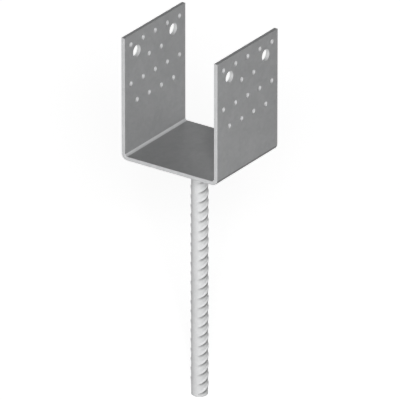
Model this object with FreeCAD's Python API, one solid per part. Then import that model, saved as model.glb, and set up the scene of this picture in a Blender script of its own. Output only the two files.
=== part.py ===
import FreeCAD, Part
import math
import os

# Cast-in timber post base, in millimetres: a U bracket folded from steel sheet, on a ribbed bar
# that is welded under it and set in wet concrete. The origin is the centre of the seat, where the
# foot of the post stands; +Z is up, the cheeks stand at -X and +X, the bar hangs along -Z.

# ---- post and folded bracket ----
post_width = 100.0          # square timber post that the bracket takes
post_play = 1.0             # room between the post and the cheeks, both sides together
sheet_thickness = 4.0
bracket_depth = 100.0       # along Y
cheek_height = 121.0        # from the seat to the top of a cheek
fold_radius = 2.5           # inside of each fold

# ---- holes, the same in both cheeks ----
nail_hole_diameter = 5.0
nail_spacing = 20.0         # between the nails of a row
nail_row_spacing = 20.0     # between the rows, each half a spacing out of line with the last
nail_rows = 4
nail_top_margin = 10.0      # from the top of the cheek to the first row
nail_side_margin = 10.0     # least distance of a nail from the upright edges of the cheek
bolt_hole_diameter = 12.0
bolt_spacing = 60.0
bolt_top_margin = 20.0
hole_bridge = 3.0           # least steel between a nail hole and a bolt hole

# ---- ribbed anchor bar ----
bar_length = 250.0          # below the base plate
core_diameter = 16.0
rib_height = 1.1            # at the middle of a rib
rib_reach = 60.0            # degrees from the middle of a rib to each end, where it dies out
rib_rim_diameter = 20.8     # over the sharp rim that the two flanks of a rib would meet in
rib_lean = 36.0             # degrees out of level
lower_flank_angle = 60.0    # degrees; the upper flank stands square on the lean of the rib
rib_spacing = 10.0
first_rib_depth = 16.3      # below the base plate, at -X; the ribs at +X stand half a spacing lower
bar_turn = -14.0            # degrees that the two rows of ribs are turned from -X and +X
bar_end_chamfer = 0.8

# ---- weld ----
weld_leg = 5.0              # fillet weld between the base plate and the bar

# ---- worked out from the above ----
inner_x = (post_width + post_play) / 2
outer_x = inner_x + sheet_thickness
half_depth = bracket_depth / 2
outer_fold_radius = fold_radius + sheet_thickness
underside_z = -sheet_thickness
core_radius = core_diameter / 2
bar_end_z = underside_z - bar_length


def arc_corner(corner, start_direction, end_direction, radius):
    """Quarter arc that rounds a square corner, between two unit directions that lead away from it."""
    start = corner + start_direction * radius
    end = corner + end_direction * radius
    centre = corner + (start_direction + end_direction) * radius
    middle = centre - (start_direction + end_direction).normalize() * radius
    return Part.Arc(start, middle, end).toShape()


def cheek_profile_side(side):
    """Section edges on one side (-1 or 1) of the bracket: outer fold, cheek and inner fold."""
    up = FreeCAD.Vector(0, 0, 1)
    inward = FreeCAD.Vector(-side, 0, 0)
    outer_corner = FreeCAD.Vector(side * outer_x, -half_depth, underside_z)
    inner_corner = FreeCAD.Vector(side * inner_x, -half_depth, 0)
    outer_top = FreeCAD.Vector(side * outer_x, -half_depth, cheek_height)
    inner_top = FreeCAD.Vector(side * inner_x, -half_depth, cheek_height)
    return [
        arc_corner(outer_corner, inward, up, outer_fold_radius),
        Part.makeLine(outer_corner + up * outer_fold_radius, outer_top),
        Part.makeLine(outer_top, inner_top),
        Part.makeLine(inner_top, inner_corner + up * fold_radius),
        arc_corner(inner_corner, up, inward, fold_radius),
    ]


def folded_sheet():
    """The U section of the sheet, drawn at the front edge and pushed back by the depth."""
    seat_end = FreeCAD.Vector(inner_x - fold_radius, -half_depth, 0)
    base_end = FreeCAD.Vector(outer_x - outer_fold_radius, -half_depth, underside_z)
    flip = FreeCAD.Vector(2, 0, 0)
    edges = cheek_profile_side(1) + cheek_profile_side(-1)
    edges.append(Part.makeLine(seat_end, seat_end - flip * seat_end.x))
    edges.append(Part.makeLine(base_end, base_end - flip * base_end.x))
    section = Part.Wire(Part.__sortEdges__(edges))
    return Part.Face(section).extrude(FreeCAD.Vector(0, bracket_depth, 0))


def bolt_places():
    """Centres (y, z) of the bolt holes."""
    z = cheek_height - bolt_top_margin
    return [(-bolt_spacing / 2, z), (bolt_spacing / 2, z)]


def nail_places():
    """Centres (y, z) of the nail holes: staggered rows, with no nail on top of a bolt hole."""
    reach = half_depth - nail_side_margin
    least_distance = (nail_hole_diameter + bolt_hole_diameter) / 2 + hole_bridge
    places = []
    for row in range(nail_rows):
        z = cheek_height - nail_top_margin - row * nail_row_spacing
        shift = nail_spacing / 2 if row % 2 else 0.0
        steps = int(reach // nail_spacing) + 1
        for step in range(-steps, steps + 1):
            y = step * nail_spacing + shift
            clear = all(math.hypot(y - by, z - bz) >= least_distance for by, bz in bolt_places())
            if abs(y) <= reach and clear:
                places.append((y, z))
    return places


def cross_drill(diameter, places):
    """Drills along X, long enough to pass through both cheeks at each place."""
    drills = []
    for y, z in places:
        start = FreeCAD.Vector(-outer_x - sheet_thickness, y, z)
        length = 2 * (outer_x + sheet_thickness)
        drills.append(Part.makeCylinder(diameter / 2, length, start, FreeCAD.Vector(1, 0, 0)))
    return drills


def u_bracket():
    drills = cross_drill(nail_hole_diameter, nail_places())
    drills += cross_drill(bolt_hole_diameter, bolt_places())
    return folded_sheet().cut(drills)


def crescent_rib():
    """
    One rib at the height of the origin, on the -X side. A disc with a flat upper and a conical
    lower flank, leaning about its own radius, is trimmed by an upright cylinder set off the axis.
    The cylinder stands proud of the core by the rib height at -X and runs into it at the reach
    to each side. Only a thin shell of the disc is kept inside the core.
    """
    crest_radius = core_radius + rib_height
    end_x = core_radius * math.cos(math.radians(rib_reach))
    offset = (crest_radius ** 2 - core_radius ** 2) / (2 * (crest_radius - end_x))
    rim_radius = rib_rim_diameter / 2
    height = 4 * rim_radius
    down = FreeCAD.Vector(0, 0, -height / 2)
    trim = Part.makeCylinder(crest_radius - offset, height, down - FreeCAD.Vector(offset, 0, 0))
    trim = trim.cut(Part.makeCylinder(core_radius * 0.85, height, down))
    corner = down - FreeCAD.Vector(crest_radius + end_x / 2, crest_radius, 0)
    half = Part.makeBox(crest_radius, crest_radius * 2, height, corner)
    lower = rim_radius / math.tan(math.radians(lower_flank_angle))
    section = Part.makePolygon([
        FreeCAD.Vector(0, 0, -lower),
        FreeCAD.Vector(rim_radius, 0, 0),
        FreeCAD.Vector(0, 0, 0),
        FreeCAD.Vector(0, 0, -lower),
    ])
    disc = Part.Face(section).revolve(FreeCAD.Vector(), FreeCAD.Vector(0, 0, 1), 360)
    disc.rotate(FreeCAD.Vector(), FreeCAD.Vector(1, 0, 0), -rib_lean)
    return disc.common(trim.common(half))


def rib_row(rib, first_depth, turn):
    """Copies of a rib down the bar, turned about it, from the first depth to the last whole rib."""
    half_rise = core_radius * math.tan(math.radians(rib_lean))
    ribs = []
    depth = first_depth
    while depth < bar_length - bar_end_chamfer - half_rise:
        copy = rib.copy()
        copy.rotate(FreeCAD.Vector(), FreeCAD.Vector(0, 0, 1), turn)
        copy.translate(FreeCAD.Vector(0, 0, underside_z - depth))
        ribs.append(copy)
        depth += rib_spacing
    return ribs


def anchor_rod():
    core = Part.makeCylinder(core_radius, bar_length, FreeCAD.Vector(0, 0, bar_end_z))
    end_edges = [edge for edge in core.Edges if abs(edge.BoundBox.ZMax - bar_end_z) < 1e-6]
    core = core.makeChamfer(bar_end_chamfer, end_edges)
    core.rotate(FreeCAD.Vector(), FreeCAD.Vector(0, 0, 1), 90)
    rib = crescent_rib()
    ribs = rib_row(rib, first_rib_depth, 0)
    ribs += rib_row(rib, first_rib_depth + rib_spacing / 2, 180)
    rod = core.multiFuse(ribs).removeSplitter()
    rod.rotate(FreeCAD.Vector(), FreeCAD.Vector(0, 0, 1), bar_turn)
    return rod


def weld_fillet():
    """Ring of weld in the corner of base plate and bar, with a flat face."""
    section = Part.makePolygon([
        FreeCAD.Vector(core_radius, 0, underside_z),
        FreeCAD.Vector(core_radius + weld_leg, 0, underside_z),
        FreeCAD.Vector(core_radius, 0, underside_z - weld_leg),
        FreeCAD.Vector(core_radius, 0, underside_z),
    ])
    return Part.Face(section).revolve(FreeCAD.Vector(), FreeCAD.Vector(0, 0, 1), 360)


def main():
    os.makedirs("parts", exist_ok=True)
    nodes = {"u_bracket": u_bracket(), "anchor_rod": anchor_rod(), "weld_fillet": weld_fillet()}
    for name, shape in nodes.items():
        shape.exportStep(f"parts/{name}.step")
        print(name, "solids", len(shape.Solids), "volume", round(shape.Volume, 1), "mm3")


main()
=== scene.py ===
import bmesh
import bpy
import math
import numpy as np
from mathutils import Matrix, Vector


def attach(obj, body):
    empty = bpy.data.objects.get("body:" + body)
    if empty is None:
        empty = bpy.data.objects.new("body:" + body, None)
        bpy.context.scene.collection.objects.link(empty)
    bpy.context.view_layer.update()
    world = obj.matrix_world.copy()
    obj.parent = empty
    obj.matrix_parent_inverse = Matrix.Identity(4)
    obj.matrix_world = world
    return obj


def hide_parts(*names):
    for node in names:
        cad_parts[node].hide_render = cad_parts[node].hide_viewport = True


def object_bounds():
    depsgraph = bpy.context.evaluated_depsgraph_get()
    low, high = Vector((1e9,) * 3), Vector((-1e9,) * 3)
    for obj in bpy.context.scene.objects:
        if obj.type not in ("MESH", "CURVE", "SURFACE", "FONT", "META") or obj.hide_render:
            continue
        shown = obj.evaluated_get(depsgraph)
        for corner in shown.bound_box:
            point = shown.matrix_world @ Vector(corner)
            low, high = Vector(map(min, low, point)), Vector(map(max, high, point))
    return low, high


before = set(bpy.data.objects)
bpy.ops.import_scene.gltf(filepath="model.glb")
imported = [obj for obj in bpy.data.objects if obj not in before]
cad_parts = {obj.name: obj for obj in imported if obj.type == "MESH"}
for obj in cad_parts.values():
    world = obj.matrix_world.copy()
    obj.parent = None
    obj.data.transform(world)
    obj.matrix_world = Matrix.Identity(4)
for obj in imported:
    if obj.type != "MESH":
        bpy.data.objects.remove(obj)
cadLow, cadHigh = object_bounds()
print("stage: frame loaded")

mm = 0.001    # the scene is in metres


def newPiece(name, mesh):
    piece = bpy.data.objects.new(name, mesh)
    bpy.context.scene.collection.objects.link(piece)
    return piece


def meshFromGrid(name, points, closeRows=False):
    # points[row, column] is a grid that closes along its columns, and along its rows if asked
    rows, columns = points.shape[:2]
    mesh = bpy.data.meshes.new(name)
    faces = []
    for row in range(rows if closeRows else rows - 1):
        below = row * columns
        above = ((row + 1) % rows) * columns
        for column in range(columns):
            after = (column + 1) % columns
            faces.append((below + column, below + after, above + after, above + column))
    if not closeRows:
        faces.append(tuple(reversed(range(columns))))
        faces.append(tuple((rows - 1) * columns + column for column in range(columns)))
    mesh.from_pydata(points.reshape(-1, 3).tolist(), [], faces)
    mesh.update()
    return mesh


def faceOutward(mesh):
    edit = bmesh.new()
    edit.from_mesh(mesh)
    bmesh.ops.recalc_face_normals(edit, faces=edit.faces)
    edit.to_mesh(mesh)
    edit.free()


def shadeByAngle(mesh, degrees):
    mesh.shade_smooth()
    mesh.set_sharp_from_angle(angle=math.radians(degrees))


def applyModifiers(piece):
    graph = bpy.context.evaluated_depsgraph_get()
    finished = bpy.data.meshes.new_from_object(piece.evaluated_get(graph))
    piece.modifiers.clear()
    piece.data = finished


def addNode(tree, kind, **values):
    node = tree.nodes.new(kind)
    for name, value in values.items():
        if name in node.inputs:
            node.inputs[name].default_value = value
        else:
            setattr(node, name, value)
    return node


def mapRange(tree, source, low, high):
    # spreads a 0 to 1 value over low to high
    spread = addNode(tree, "ShaderNodeMapRange")
    spread.inputs["To Min"].default_value = low
    spread.inputs["To Max"].default_value = high
    tree.links.new(source, spread.inputs["Value"])
    return spread.outputs["Result"]


# what all the zinc has in common
zincLook = {
    "flakeRatio": 2.6,            # flakes to one crystal, along a line
    "flakeShare": 0.4,
    "toneRange": (0.15, 0.85),    # the part of the tone that runs from dark to pale
    "toneInBump": 0.35,
    "bloomDetail": 5.0,
    "bloomRoughness": 0.6,
    "grainDetail": 3.0,
    "grainRoughness": 0.55,
}


def noiseTexture(tree, size, detail, roughness):
    return addNode(tree, "ShaderNodeTexNoise", Scale=1 / size, Detail=detail, Roughness=roughness)


def zincMaterial(name, finish):
    # hot dip zinc: faint crystals of two sizes, a cloudy bloom and a fine grain in the bump
    look = zincLook
    material = bpy.data.materials.new(name)
    material.use_nodes = True
    tree = material.node_tree
    shader = tree.nodes["Principled BSDF"]
    shader.inputs["Metallic"].default_value = finish["metallic"]
    shader.inputs["Specular IOR Level"].default_value = finish["specular"]
    place = addNode(tree, "ShaderNodeTexCoord")

    crystals = addNode(tree, "ShaderNodeTexVoronoi", Scale=1 / finish["crystalSize"], Randomness=1.0)
    flakes = addNode(
        tree, "ShaderNodeTexVoronoi", Scale=look["flakeRatio"] / finish["crystalSize"], Randomness=1.0,
    )
    bloom = noiseTexture(tree, finish["bloomSize"], look["bloomDetail"], look["bloomRoughness"])
    grain = noiseTexture(tree, finish["grainSize"], look["grainDetail"], look["grainRoughness"])
    for texture in (crystals, flakes, bloom, grain):
        tree.links.new(place.outputs["Object"], texture.inputs["Vector"])

    # one tone from 0 to 1 out of crystals, flakes and bloom
    tone = addNode(tree, "ShaderNodeMix", data_type="FLOAT")
    tone.inputs["Factor"].default_value = look["flakeShare"]
    tree.links.new(crystals.outputs["Color"], tone.inputs["A"])
    tree.links.new(flakes.outputs["Color"], tone.inputs["B"])
    cloud = addNode(tree, "ShaderNodeMix", data_type="FLOAT")
    cloud.inputs["Factor"].default_value = finish["bloomShare"]
    tree.links.new(tone.outputs["Result"], cloud.inputs["A"])
    tree.links.new(bloom.outputs["Fac"], cloud.inputs["B"])

    ramp = addNode(tree, "ShaderNodeValToRGB")
    colors = (finish["darkZinc"], finish["paleZinc"])
    for element, position, zinc in zip(ramp.color_ramp.elements, look["toneRange"], colors):
        element.position = position
        element.color = (*zinc, 1)
    tree.links.new(cloud.outputs["Result"], ramp.inputs["Fac"])
    color = ramp.outputs["Color"]
    # painted shade under the ribs, mixed into the colour from a mesh attribute
    if "paintedShadeZinc" in finish:
        paintedShade = addNode(tree, "ShaderNodeAttribute", attribute_name="paintedShade")
        shadeMix = addNode(tree, "ShaderNodeMix", data_type="RGBA")
        shadeMix.inputs["B"].default_value = (*finish["paintedShadeZinc"], 1)
        tree.links.new(paintedShade.outputs["Fac"], shadeMix.inputs["Factor"])
        tree.links.new(color, shadeMix.inputs["A"])
        color = shadeMix.outputs["Result"]
    tree.links.new(color, shader.inputs["Base Color"])
    tree.links.new(
        mapRange(tree, cloud.outputs["Result"], finish["roughest"], finish["smoothest"]),
        shader.inputs["Roughness"],
    )

    height = addNode(tree, "ShaderNodeMix", data_type="FLOAT")
    height.inputs["Factor"].default_value = look["toneInBump"]
    tree.links.new(grain.outputs["Fac"], height.inputs["A"])
    tree.links.new(cloud.outputs["Result"], height.inputs["B"])
    bump = addNode(tree, "ShaderNodeBump", Strength=finish["bumpStrength"], Distance=finish["bumpDepth"])
    tree.links.new(height.outputs["Result"], bump.inputs["Height"])
    tree.links.new(bump.outputs["Normal"], shader.inputs["Normal"])
    return material


bracket = {
    "innerWidth": 101 * mm,
    "sheet": 4 * mm,
    "depth": 100 * mm,
    "cheekHeight": 121 * mm,
    "foldRadius": 2.5 * mm,       # inside of the fold
    "foldSteps": 14,
    "nailHole": 5 * mm,
    "boltHole": 12 * mm,
    "holeSides": 64,
    "edgeBreak": 0.3 * mm,        # burr-free edge of sheet and holes
    "punchReach": 70 * mm,        # how far the punches stand out to each side
    "edgeBand": 0.5 * mm,         # faces so close to an edge of the sheet belong to it
    "foldTop": 10 * mm,           # the folds end below this height, the holes lie above it
    "sharpAngle": 40,             # degrees
    # y places of the holes in each row, by height above the seat
    "nailRows": {
        111: (-40, -20, 0, 20, 40),
        91: (-10, 10),
        71: (-40, -20, 0, 20, 40),
        51: (-30, -10, 10, 30),
    },
    "boltRows": {101: (-30, 30)},
}

sheetZinc = {
    "darkZinc": (0.345, 0.349, 0.353),
    "paleZinc": (0.43, 0.434, 0.438),
    "metallic": 0.12,
    "specular": 0.25,
    "roughest": 0.62,
    "smoothest": 0.5,
    "crystalSize": 5 * mm,
    "bloomSize": 30 * mm,
    "bloomShare": 0.55,
    "grainSize": 0.5 * mm,
    "bumpStrength": 0.25,
    "bumpDepth": 0.03 * mm,
}

# what differs on the cut edges and in the walls of the holes, whose zinc is painted paler for the light
# that falls on them, and on the folds
cutEdgePaintedLightZinc = {**sheetZinc, "darkZinc": (0.60, 0.605, 0.61), "paleZinc": (0.70, 0.705, 0.71)}
holeWallPaintedLightZinc = {**sheetZinc, "darkZinc": (0.61, 0.615, 0.62), "paleZinc": (0.69, 0.695, 0.70)}
# painted highlight along the inside of the folds
insideFoldPaintedHighlightZinc = {**sheetZinc, "darkZinc": (0.64, 0.645, 0.65), "paleZinc": (0.74, 0.745, 0.75)}
# painted shade along the outside of the folds
outsideFoldPaintedShadeZinc = {**sheetZinc, "darkZinc": (0.15, 0.152, 0.154), "paleZinc": (0.21, 0.212, 0.214)}


def foldArc(centre, radius, start, end, steps):
    turns = [math.radians(start + (end - start) * step / steps) for step in range(steps + 1)]
    return [(centre[0] + radius * math.cos(turn), centre[1] + radius * math.sin(turn)) for turn in turns]


def bracketSection(values):
    # x, z points round the U, from the top of the right cheek down its outside
    inner = values["innerWidth"] / 2
    outer = inner + values["sheet"]
    radius = values["foldRadius"]
    steps = values["foldSteps"]
    top = values["cheekHeight"]
    axisX = inner - radius
    outside = [(outer, top)]
    outside += foldArc((axisX, radius), radius + values["sheet"], 0, -90, steps)
    outside += foldArc((-axisX, radius), radius + values["sheet"], -90, -180, steps)
    outside.append((-outer, top))
    inside = [(-inner, top)]
    inside += foldArc((-axisX, radius), radius, 180, 270, steps)
    inside += foldArc((axisX, radius), radius, 270, 360, steps)
    inside.append((inner, top))
    return outside + inside


def holePunches(values):
    # one mesh of rods along X, which punch both cheeks at once
    edit = bmesh.new()
    punches = []
    holes = ((values["nailRows"], values["nailHole"]), (values["boltRows"], values["boltHole"]))
    for rows, diameter in holes:
        for height, places in rows.items():
            punches += [(place * mm, height * mm, diameter / 2) for place in places]
    sides = values["holeSides"]
    turns = [2 * math.pi * side / sides for side in range(sides)]
    for y, z, radius in punches:
        rings = []
        for x in (-values["punchReach"], values["punchReach"]):
            circle = [(x, y + radius * math.cos(turn), z + radius * math.sin(turn)) for turn in turns]
            rings.append([edit.verts.new(point) for point in circle])
        edit.faces.new(rings[0])
        edit.faces.new(list(reversed(rings[1])))
        for side in range(sides):
            after = (side + 1) % sides
            edit.faces.new((rings[0][side], rings[1][side], rings[1][after], rings[0][after]))
    bmesh.ops.recalc_face_normals(edit, faces=edit.faces)
    mesh = bpy.data.meshes.new("holePunches")
    edit.to_mesh(mesh)
    edit.free()
    return newPiece("hole_punches", mesh)


def sheetFinish(face, values):
    # 0 sheet, 1 cut front and back edges and 2 walls of the holes, both with painted light, 3 inside of
    # the folds with a painted highlight and 4 outside of the folds with painted shade
    facesX = abs(face.normal.x)
    if abs(face.center.y) > values["depth"] / 2 - values["edgeBand"]:
        return 1
    if facesX < 0.1 and values["foldTop"] < face.center.z < values["cheekHeight"] - values["edgeBand"]:
        return 2
    if 0.02 < facesX < 0.98 and face.center.z < values["foldTop"]:
        inside = face.normal.z > 0 and abs(face.center.x) < values["innerWidth"] / 2
        return 3 if inside else 4
    return 0


def makeBracket(values):
    section = bracketSection(values)
    edit = bmesh.new()
    front = [edit.verts.new((x, -values["depth"] / 2, z)) for x, z in section]
    back = [edit.verts.new((x, values["depth"] / 2, z)) for x, z in section]
    edit.faces.new(front)
    edit.faces.new(list(reversed(back)))
    for point in range(len(section)):
        after = (point + 1) % len(section)
        edit.faces.new((front[point], back[point], back[after], front[after]))
    bmesh.ops.recalc_face_normals(edit, faces=edit.faces)
    mesh = bpy.data.meshes.new("foldedBracket")
    edit.to_mesh(mesh)
    edit.free()
    piece = newPiece("folded_bracket", mesh)

    punches = holePunches(values)
    punch = piece.modifiers.new("punch", "BOOLEAN")
    punch.operation = "DIFFERENCE"
    punch.solver = "EXACT"
    punch.object = punches
    applyModifiers(piece)
    bpy.data.objects.remove(punches)

    for face in piece.data.polygons:
        face.material_index = sheetFinish(face, values)

    edges = piece.modifiers.new("edgeBreak", "BEVEL")
    edges.width = values["edgeBreak"]
    edges.segments = 2
    edges.limit_method = "ANGLE"
    edges.angle_limit = math.radians(values["sharpAngle"])
    edges.harden_normals = True
    shadeByAngle(piece.data, values["sharpAngle"])
    return piece


bar = {
    "coreRadius": 8.0 * mm,
    "top": -4 * mm,
    "bottom": -254 * mm,
    "ribHeight": 1.1 * mm,
    "ribReach": 78,               # degrees from the middle of a rib to its ends
    "ribRim": 9.8 * mm,           # where the flanks of a rib would meet
    "ribLean": 37,                # degrees out of level
    "lowerFlank": 36,             # degrees off the surface of the bar
    "upperFlank": 75,
    "ribSpacing": 10 * mm,
    "firstRib": 16.4 * mm,        # below the plate, at -X
    "turn": -14,                  # degrees
    "rounding": 0.18 * mm,        # of rib crests and feet, as rolled
    "endChamfer": 0.8 * mm,
    "sides": 96,
    "rowHeight": 0.36 * mm,
    "searchSteps": 11,            # halvings that find the surface of a rib
    "ribMargin": 6 * mm,          # rows searched above and below the rise of a rib
    "shadeGain": 3.0,             # how soon a widening of the bar counts as the underside of a rib
    "shadeRows": 6,               # rows over which the painted shade runs out below a rib
    "shadeFade": 1.5,             # how fast it fades towards the ends of a rib
    "plainRows": 4,               # rows of the sawn end, without painted shade
    "sharpAngle": 50,
}

barZinc = {
    "darkZinc": (0.72, 0.725, 0.73),
    "paleZinc": (0.86, 0.865, 0.87),
    # painted shade on the undersides of the ribs
    "paintedShadeZinc": (0.22, 0.22, 0.22),
    "metallic": 0.06,
    "specular": 0.12,
    "roughest": 0.5,
    "smoothest": 0.36,
    "crystalSize": 3 * mm,
    "bloomSize": 14 * mm,
    "bloomShare": 0.6,
    "grainSize": 0.4 * mm,
    "bumpStrength": 0.3,
    "bumpDepth": 0.04 * mm,
}


def softMax(first, second, width):
    blend = np.clip(0.5 + 0.5 * (first - second) / width, 0, 1)
    return second + (first - second) * blend + width * blend * (1 - blend)


def ribField(radius, angle, z, middle, side, values):
    # below 0 inside a rib whose middle is at that height on -X (side -1) or +X (side 1)
    core = values["coreRadius"]
    crest = core + values["ribHeight"]
    lean = math.radians(values["ribLean"])
    endX = core * math.cos(math.radians(values["ribReach"]))
    offset = (crest ** 2 - core ** 2) / (2 * (crest - endX))
    x = radius * np.cos(angle) * side
    y = radius * np.sin(angle) * side
    down = z - middle
    across = y * math.cos(lean) + down * math.sin(lean)
    along = down * math.cos(lean) - y * math.sin(lean)
    trim = np.sqrt((x - offset) ** 2 + y ** 2) - (crest - offset)
    outOfRim = np.sqrt(x ** 2 + across ** 2) - values["ribRim"]
    upperFlank, lowerFlank = math.radians(values["upperFlank"]), math.radians(values["lowerFlank"])
    upper = outOfRim * math.cos(upperFlank) + along * math.sin(upperFlank)
    lower = outOfRim * math.cos(lowerFlank) - along * math.sin(lowerFlank)
    field = softMax(softMax(upper, lower, values["rounding"]), trim, values["rounding"])
    return np.where(x > 0, field, 1.0)


def barRadius(angle, z, values):
    # how far the surface stands out at each angle and height: the core, or the rib over it
    core = values["coreRadius"]
    lean = math.radians(values["ribLean"])
    margin = core * math.tan(lean)
    length = values["top"] - values["bottom"]
    surface = np.full(angle.shape, core)
    for side, first in ((-1, values["firstRib"]), (1, values["firstRib"] + values["ribSpacing"] / 2)):
        depth = first
        while depth < length - values["endChamfer"] - margin:
            middle = values["top"] - depth
            rows = np.abs(z[:, 0] - middle) < margin + values["ribMargin"]
            near = np.full(angle[rows].shape, core)
            far = np.full(angle[rows].shape, core + values["ribHeight"])
            stands = ribField(near, angle[rows], z[rows], middle, side, values) < 0
            for halving in range(values["searchSteps"]):
                centre = (near + far) / 2
                inside = ribField(centre, angle[rows], z[rows], middle, side, values) < 0
                near = np.where(inside, centre, near)
                far = np.where(inside, far, centre)
            surface[rows] = np.maximum(surface[rows], np.where(stands, near, core))
            depth += values["ribSpacing"]
    return surface


def paintedShadeUnderRibs(radius, z, values):
    # painted shade under the ribs: 1 where the surface widens upwards, which is under a rib, and less
    # and less below that
    widening = np.gradient(radius, axis=0) / np.gradient(z, axis=0) * values["shadeGain"]
    widening = np.clip(widening, 0, 1)
    paintedShade = widening.copy()
    for step in range(1, values["shadeRows"] + 1):
        fade = 1 - step / (values["shadeRows"] + 1)
        paintedShade[:-step] = np.maximum(paintedShade[:-step], widening[step:] * fade)
    # most of it where the ribs are highest, and none on the sawn end
    share = (radius.max(axis=0) - values["coreRadius"]) / values["ribHeight"]
    paintedShade *= share ** values["shadeFade"]
    paintedShade[:values["plainRows"]] = 0
    return paintedShade


def makeBar(values):
    chamfer = values["endChamfer"]
    count = int((values["top"] - values["bottom"] - chamfer) / values["rowHeight"])
    heights = np.linspace(values["bottom"] + chamfer, values["top"], count)
    angles = np.arange(values["sides"]) * 2 * math.pi / values["sides"]
    angle, z = np.meshgrid(angles, heights)
    radius = barRadius(angle, z, values)
    # the sawn end: a small chamfer below the first full row
    endRadius = np.array([values["coreRadius"] - chamfer, values["coreRadius"] - chamfer * 0.97])
    endHeight = np.array([values["bottom"], values["bottom"] + chamfer * 0.03])
    radius = np.vstack([np.repeat(endRadius[:, None], len(angles), 1), radius])
    z = np.vstack([np.repeat(endHeight[:, None], len(angles), 1), z])
    angle = np.vstack([angle[:2], angle])
    turned = angle + math.radians(values["turn"])
    points = np.stack([radius * np.cos(turned), radius * np.sin(turned), z], axis=-1)
    mesh = meshFromGrid("ribbedBar", points)
    paintedShade = mesh.attributes.new("paintedShade", "FLOAT", "POINT")
    paintedShade.data.foreach_set("value", paintedShadeUnderRibs(radius, z, values).astype(np.float32).ravel())
    faceOutward(mesh)
    shadeByAngle(mesh, values["sharpAngle"])
    return newPiece("ribbed_bar", mesh)


weld = {
    "barRadius": 8.0 * mm,
    "leg": 4.75 * mm,
    "plateZ": -4 * mm,
    "crown": 0.55 * mm,           # how far the face swells beyond a flat one
    "ripplePitch": 1.9 * mm,
    "rippleDepth": 0.22 * mm,
    "rippleLag": 2.2,             # how far a ripple trails at the plate and the bar
    "rippleRise": 0.75,           # share of a ripple over which it rises
    "unevenLeg": 0.03,
    "unevenCrown": 0.25,
    "rootInset": 0.3 * mm,        # the hidden root line lies inside the bar
    "sides": 288,
    "faceSteps": 14,
    "sharpAngle": 70,
}

weldZinc = {
    "darkZinc": (0.40, 0.40, 0.405),
    "paleZinc": (0.52, 0.52, 0.525),
    "metallic": 0.15,
    "specular": 0.3,
    "roughest": 0.55,
    "smoothest": 0.4,
    "crystalSize": 2 * mm,
    "bloomSize": 6 * mm,
    "bloomShare": 0.6,
    "grainSize": 0.4 * mm,
    "bumpStrength": 0.35,
    "bumpDepth": 0.06 * mm,
}


def makeWeld(values):
    # a bead laid round the bar: each ripple is a shallow crescent that trails at the plate and the bar
    ringRadius = values["barRadius"] + values["leg"] / 2
    ripples = round(2 * math.pi * ringRadius / values["ripplePitch"])
    turn, across = np.meshgrid(
        np.arange(values["sides"]) * 2 * math.pi / values["sides"],
        np.linspace(0, 1, values["faceSteps"]),
    )
    lag = values["rippleLag"] * (2 * across - 1) ** 2
    phase = (turn * ripples + lag) / (2 * math.pi)
    wave = phase - np.floor(phase)
    rise = values["rippleRise"]
    ripple = np.where(wave < rise, wave / rise, (1 - wave) / (1 - rise)) - 0.5
    # the hand that laid it wandered a little
    uneven = 0.5 * np.sin(3 * turn + 0.7) + 0.3 * np.sin(7 * turn + 2.1)
    leg = values["leg"] * (1 + values["unevenLeg"] * uneven)
    crown = values["crown"] * (1 + values["unevenCrown"] * uneven)
    swell = (crown + values["rippleDepth"] * ripple) * np.sin(math.pi * across) * math.sqrt(0.5)
    radius = values["barRadius"] + leg * (1 - across) + swell
    height = values["plateZ"] - leg * across - swell
    face = np.stack([radius * np.cos(turn), radius * np.sin(turn), height], axis=-1)
    # the root line closes the ring
    rootRadius = values["barRadius"] - values["rootInset"]
    rootTurn = turn[:1]
    rootHeight = np.full_like(rootTurn, values["plateZ"])
    root = np.stack([rootRadius * np.cos(rootTurn), rootRadius * np.sin(rootTurn), rootHeight], axis=-1)
    mesh = meshFromGrid("weldBead", np.vstack([face, root]), closeRows=True)
    faceOutward(mesh)
    shadeByAngle(mesh, values["sharpAngle"])
    return newPiece("weld_bead", mesh)


foldedBracket = makeBracket(bracket)
for name, finish in (
    ("zincSheet", sheetZinc),
    ("zincCutEdgePaintedLight", cutEdgePaintedLightZinc),
    ("zincHoleWallPaintedLight", holeWallPaintedLightZinc),
    ("zincInsideFoldPaintedHighlight", insideFoldPaintedHighlightZinc),
    ("zincOutsideFoldPaintedShade", outsideFoldPaintedShadeZinc),
):
    foldedBracket.data.materials.append(zincMaterial(name, finish))
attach(foldedBracket, "root")
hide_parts("u_bracket")
print("stage: folded bracket")

ribbedBar = makeBar(bar)
ribbedBar.data.materials.append(zincMaterial("zincBar", barZinc))
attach(ribbedBar, "root")
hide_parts("anchor_rod")
print("stage: ribbed bar", len(ribbedBar.data.polygons), "faces")

weldBead = makeWeld(weld)
weldBead.data.materials.append(zincMaterial("zincWeld", weldZinc))
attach(weldBead, "root")
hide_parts("weld_fillet")
print("stage: weld bead")


studio = {
    "floorRadius": 6.0,
    "floorSides": 96,
    "floorDrop": 0.5 * mm,        # below the end of the bar
    "floorColor": (0.6, 0.6, 0.6),
    "floorGlow": (0.86, 0.98),    # what is seen of the floor besides its lit colour, near and far
    "glowReach": (0.5, 2.5),      # metres from the object
    "worldLight": 0.05,
    # azimuth, elevation, distance and side in metres, and power of each softbox
    "softboxes": {
        "front_softbox": (30, 1.0, 3.0, 0.5, 33),
        "high_softbox": (36, 27, 3.0, 0.6, 38),
        "back_softbox": (222, -1.0, 3.0, 0.3, 50),
    },
}


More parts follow.
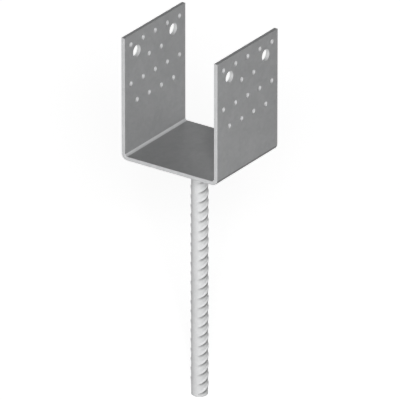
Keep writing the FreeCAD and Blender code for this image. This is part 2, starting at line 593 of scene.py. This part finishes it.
def seenOrReflected(tree):
    # 1 for camera, glossy and transmission rays, 0 for the rays that light the object
    path = addNode(tree, "ShaderNodeLightPath")
    first = addNode(tree, "ShaderNodeMath", operation="MAXIMUM")
    tree.links.new(path.outputs["Is Camera Ray"], first.inputs[0])
    tree.links.new(path.outputs["Is Glossy Ray"], first.inputs[1])
    second = addNode(tree, "ShaderNodeMath", operation="MAXIMUM")
    tree.links.new(first.outputs[0], second.inputs[0])
    tree.links.new(path.outputs["Is Transmission Ray"], second.inputs[1])
    return second.outputs[0]


def makeFloor(values):
    edit = bmesh.new()
    bmesh.ops.create_circle(
        edit, cap_ends=True, segments=values["floorSides"], radius=values["floorRadius"],
    )
    bmesh.ops.translate(edit, verts=edit.verts, vec=(0, 0, cadLow.z - values["floorDrop"]))
    mesh = bpy.data.meshes.new("studioFloor")
    edit.to_mesh(mesh)
    edit.free()
    material = bpy.data.materials.new("paleFloor")
    material.use_nodes = True
    tree = material.node_tree
    tree.nodes.remove(tree.nodes["Principled BSDF"])
    lit = addNode(tree, "ShaderNodeBsdfDiffuse", Color=(*values["floorColor"], 1))
    glow = addNode(tree, "ShaderNodeEmission", Color=(1, 1, 1, 1))
    place = addNode(tree, "ShaderNodeTexCoord")
    away = addNode(tree, "ShaderNodeVectorMath", operation="LENGTH")
    tree.links.new(place.outputs["Object"], away.inputs[0])
    rise = addNode(tree, "ShaderNodeMapRange")
    rise.inputs["From Min"].default_value, rise.inputs["From Max"].default_value = values["glowReach"]
    rise.inputs["To Min"].default_value, rise.inputs["To Max"].default_value = values["floorGlow"]
    tree.links.new(away.outputs["Value"], rise.inputs["Value"])
    strength = addNode(tree, "ShaderNodeMath", operation="MULTIPLY")
    tree.links.new(seenOrReflected(tree), strength.inputs[0])
    tree.links.new(rise.outputs["Result"], strength.inputs[1])
    tree.links.new(strength.outputs[0], glow.inputs["Strength"])
    both = addNode(tree, "ShaderNodeAddShader")
    tree.links.new(lit.outputs[0], both.inputs[0])
    tree.links.new(glow.outputs[0], both.inputs[1])
    tree.links.new(both.outputs[0], tree.nodes["Material Output"].inputs["Surface"])
    floor = newPiece("studio_floor", mesh)
    floor.data.materials.append(material)


def makeWorld(values):
    world = bpy.data.worlds.new("studioWorld")
    world.use_nodes = True
    tree = world.node_tree
    background = tree.nodes["Background"]
    background.inputs["Color"].default_value = (1, 1, 1, 1)
    strength = mapRange(tree, seenOrReflected(tree), values["worldLight"], 1.0)
    tree.links.new(strength, background.inputs["Strength"])
    bpy.context.scene.world = world


def awayFrom(azimuth, elevation):
    # unit direction from the object; azimuth 0 is in front, at -Y, and 90 at +X
    turn, rise = math.radians(azimuth), math.radians(elevation)
    return Vector((math.sin(turn) * math.cos(rise), -math.cos(turn) * math.cos(rise), math.sin(rise)))


def addSoftbox(name, azimuth, elevation, distance, size, power):
    # a square softbox that faces the middle of the object
    away = awayFrom(azimuth, elevation)
    lamp = bpy.data.lights.new(name, "AREA")
    lamp.shape = "SQUARE"
    lamp.size = size
    lamp.energy = power
    softbox = bpy.data.objects.new(name, lamp)
    softbox.location = (cadLow + cadHigh) / 2 + away * distance
    softbox.rotation_mode = "QUATERNION"
    softbox.rotation_quaternion = away.to_track_quat("Z", "Y")
    bpy.context.scene.collection.objects.link(softbox)


# a long lens from the front right, above the object, which draws it almost without perspective
shot = {
    "azimuth": 34.5,
    "elevation": 25.0,
    "lens": 1100,
    "sensor": 36,
    "frameWidth": 375.7 * mm,     # of the picture, where the object stands
    "aimRight": 0.4 * mm,         # where the middle of the picture lies, from the centre of the seat
    "aimUp": -46.4 * mm,
    "clip": (0.5, 40),
}


def addCamera(values):
    back = awayFrom(values["azimuth"], values["elevation"])
    turn = math.radians(values["azimuth"])
    right = Vector((math.cos(turn), math.sin(turn), 0))
    up = back.cross(right)
    lens = bpy.data.cameras.new("studioCamera")
    lens.lens = values["lens"]
    lens.sensor_width = values["sensor"]
    lens.clip_start, lens.clip_end = values["clip"]
    distance = values["frameWidth"] * lens.lens / lens.sensor_width
    camera = bpy.data.objects.new("studio_camera", lens)
    camera.location = right * values["aimRight"] + up * values["aimUp"] + back * distance
    camera.rotation_mode = "QUATERNION"
    camera.rotation_quaternion = back.to_track_quat("Z", "Y")
    bpy.context.scene.collection.objects.link(camera)
    bpy.context.scene.camera = camera


makeFloor(studio)
makeWorld(studio)
for name, (azimuth, elevation, distance, size, power) in studio["softboxes"].items():
    addSoftbox(name, azimuth, elevation, distance, size, power)
addCamera(shot)
bpy.context.scene.view_settings.view_transform = "Standard"
print("stage: studio")
